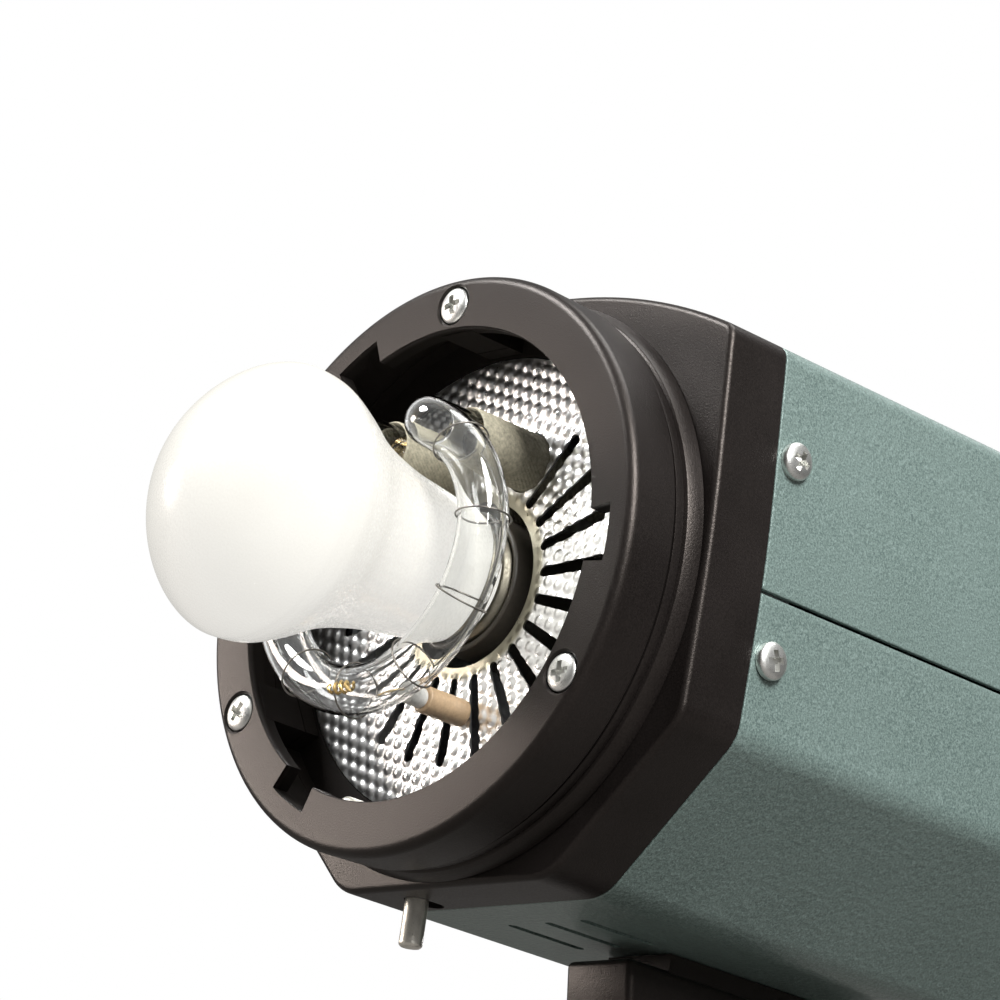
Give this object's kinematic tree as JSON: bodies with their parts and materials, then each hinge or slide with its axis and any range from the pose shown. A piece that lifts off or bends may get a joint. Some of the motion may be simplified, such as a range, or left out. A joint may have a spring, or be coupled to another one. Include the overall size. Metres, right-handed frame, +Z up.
{
  "type": "studio flash",
  "caption": "studio flash head with a black bayonet front, ring flash tube, opal modelling lamp, grey-green metal body and a tilting stand bracket",
  "frame": {"origin": "centre of the mouth of the stand socket, on the lowest face of the bracket", "axes": "+Z up along the stand's stud, the lamp looks along -Y, +X is the side of the tilt handle"},
  "size_m": [0.1316, 0.3548, 0.2396],
  "materials": {
    "green_paint": "hammertone",
    "satin_black": "satin",
    "knob_black": "fine grain",
    "panel_grey": "satin",
    "zinc_steel": "zinc plated",
    "bright_steel": "polished",
    "nickel": "plated",
    "brass": "turned",
    "aluminium": "mill",
    "stucco_aluminium": "embossed",
    "opal_glass": "frosted",
    "clear_glass": "clear",
    "sleeve_khaki": "woven sleeving",
    "ceramic_white": "matt",
    "ceramic_tan": "matt",
    "trigger_wire": "drawn wire",
    "coil_resin": "cast resin",
    "can_sleeve": "shrink sleeve",
    "board_green": "lacquer",
    "button_red": "moulded",
    "lens_smoke": "moulded",
    "washer_fibre": "pressed"
  },
  "bodies": {
    "stand": {"stand_fork": "satin_black", "friction_washer_left": "washer_fibre", "friction_washer_right": "washer_fibre"},
    "head": {"bayonet_collar": "satin_black", "bayonet_ring": "satin_black", "bracket_lug": "satin_black", "capacitor_bracket": "aluminium", "capacitor_left": "can_sleeve", "capacitor_right": "can_sleeve", "chassis_screw_1": "zinc_steel", "chassis_screw_2": "zinc_steel", "control_board": "board_green", "cover_screw_1": "zinc_steel", "cover_screw_2": "zinc_steel", "cover_screw_3": "zinc_steel", "cover_screw_4": "zinc_steel", "fan_frame": "knob_black", "flash_tube": "clear_glass", "front_bezel": "satin_black", "front_frame": "aluminium", "heat_sink": "aluminium", "lamp_holder": "ceramic_white", "latch_spring": "bright_steel", "lower_chassis": "green_paint", "lug_bolt_1": "zinc_steel", "lug_bolt_2": "zinc_steel", "mains_inlet": "knob_black", "photocell": "lens_smoke", "power_board": "board_green", "rear_bezel": "satin_black", "rear_panel": "panel_grey", "reflector_pan": "stucco_aluminium", "ring_screw_1": "zinc_steel", "ring_screw_2": "zinc_steel", "ring_screw_3": "zinc_steel", "sync_socket": "nickel", "trigger_coil": "coil_resin", "trigger_post": "ceramic_tan", "trigger_wire": "trigger_wire", "tube_cap_left": "brass", "tube_cap_right": "brass", "tube_sleeve_left": "sleeve_khaki", "tube_sleeve_right": "sleeve_khaki", "tube_socket_left": "ceramic_white", "tube_socket_right": "ceramic_white", "upper_cover": "green_paint"},
    "clamp": {"tilt_bolt": "zinc_steel", "tilt_handle": "knob_black"},
    "knob": {"socket_knob": "knob_black"},
    "latch": {"latch_rod": "bright_steel", "latch_pin": "bright_steel"},
    "lamp": {"lamp_glass": "opal_glass", "lamp_cap": "aluminium"},
    "power_control": {"power_dial": "knob_black"},
    "lamp_control": {"lamp_dial": "knob_black"},
    "mains_rocker": {"mains_switch": "knob_black"},
    "lamp_rocker": {"lamp_switch": "knob_black"},
    "test_key": {"test_button": "button_red"},
    "fuse": {"fuse_cap": "knob_black"},
    "fan": {"fan_rotor": "knob_black"}
  },
  "joints": [
    {"name": "head_tilt", "type": "hinge", "parent": "stand", "child": "head", "pos_m": [0, 0, 0.084], "axis": [1, 0, 0], "range_deg": [-60, 60]},
    {"name": "tilt_handle_turn", "type": "hinge", "parent": "stand", "child": "clamp", "pos_m": [0, 0, 0.084], "axis": [1, 0, 0], "range_deg": [-45, 45]},
    {"name": "socket_knob_turn", "type": "hinge", "parent": "stand", "child": "knob", "pos_m": [-0.025, 0, 0.028], "axis": [-1, 0, 0], "continuous": true},
    {"name": "latch_slide", "type": "slide", "parent": "head", "child": "latch", "axis": [0, 1, 0], "range_m": [0, 0.004], "stiffness_N_per_m": 500, "springref_m": -0.003, "deforming": ["latch_spring"]},
    {"name": "lamp_turn", "type": "hinge", "parent": "head", "child": "lamp", "pos_m": [0, -0.105, 0.176], "axis": [0, 1, 0], "range_deg": [0, 1080]},
    {"name": "power_dial_turn", "type": "hinge", "parent": "head", "child": "power_control", "pos_m": [-0.042, 0.172, 0.161], "axis": [0, 1, 0], "range_deg": [-135, 135]},
    {"name": "lamp_dial_turn", "type": "hinge", "parent": "head", "child": "lamp_control", "pos_m": [0.042, 0.172, 0.161], "axis": [0, 1, 0], "range_deg": [-135, 135]},
    {"name": "mains_switch_rock", "type": "hinge", "parent": "head", "child": "mains_rocker", "pos_m": [0.021, 0.17075, 0.1305], "axis": [0, 0, 1], "range_deg": [-9, 9]},
    {"name": "lamp_switch_rock", "type": "hinge", "parent": "head", "child": "lamp_rocker", "pos_m": [0.021, 0.17075, 0.147], "axis": [0, 0, 1], "range_deg": [-9, 9]},
    {"name": "test_button_press", "type": "slide", "parent": "head", "child": "test_key", "axis": [0, -1, 0], "range_m": [0, 0.002], "stiffness_N_per_m": 300, "springref_m": -0.001},
    {"name": "fuse_cap_turn", "type": "hinge", "parent": "head", "child": "fuse", "pos_m": [-0.038, 0.172, 0.142], "axis": [0, 1, 0], "range_deg": [0, 90]},
    {"name": "fan_spin", "type": "hinge", "parent": "head", "child": "fan", "pos_m": [0, 0.16, 0.197], "axis": [0, 1, 0], "continuous": true}
  ]
}
